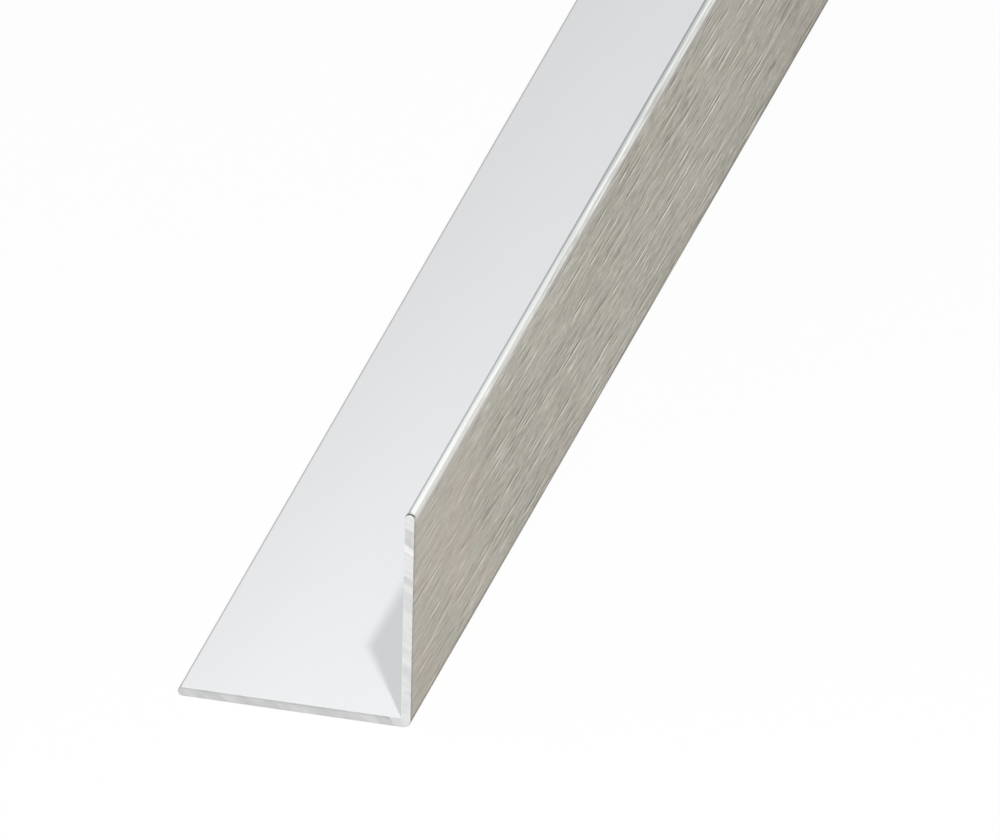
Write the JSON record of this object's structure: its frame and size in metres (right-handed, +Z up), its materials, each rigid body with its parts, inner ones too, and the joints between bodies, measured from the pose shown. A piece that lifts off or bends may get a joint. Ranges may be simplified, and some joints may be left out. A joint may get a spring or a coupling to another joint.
{
  "type": "metal angle section",
  "caption": "Straight equal-leg metal angle, L-shaped in section with rounded toes and an eased heel, brushed outside and smooth inside, sawn square at both ends.",
  "frame": {"origin": "middle of the base: half way along the length and half way across the flat leg, on the floor plane that the flat leg lies on", "axes": "+Y along the length, +Z up along the standing leg, +X from the flat leg's toe towards the heel, so the standing leg's outer face looks along +X"},
  "size_m": [0.0356, 1, 0.0355],
  "materials": {
    "brushed_aluminium": "outer faces brushed along the length in a warm grey stainless tone, inner faces smooth satin, sawn ends bare"
  },
  "bodies": {
    "root": {"angle_section": "brushed_aluminium"}
  },
  "joints": []
}
